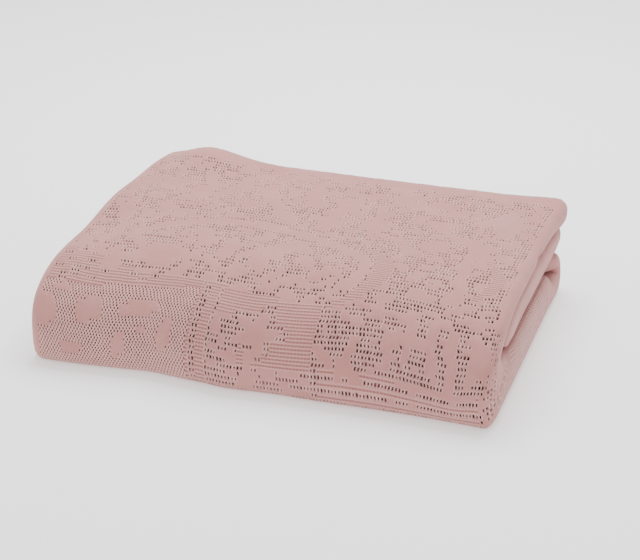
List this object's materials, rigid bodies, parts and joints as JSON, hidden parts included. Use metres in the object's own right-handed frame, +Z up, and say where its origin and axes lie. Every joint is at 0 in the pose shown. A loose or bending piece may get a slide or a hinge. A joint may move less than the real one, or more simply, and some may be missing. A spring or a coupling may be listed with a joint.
{
  "type": "folded blanket",
  "caption": "Openwork woven cotton throw folded into a compact rectangular stack with a rounded folded front and closed rolled ends.",
  "frame": {"origin": "centre of the bounding box at the underside", "axes": "+X along the stack's longest side, towards the end that shows the closed rolls; -Y towards the folded front; +Z up"},
  "size_m": [0.4574, 0.3358, 0.1074],
  "materials": {
    "cotton": "matte dusty rose cotton with a woven openwork pattern"
  },
  "bodies": {
    "root": {"blanket": "cotton"}
  },
  "joints": []
}
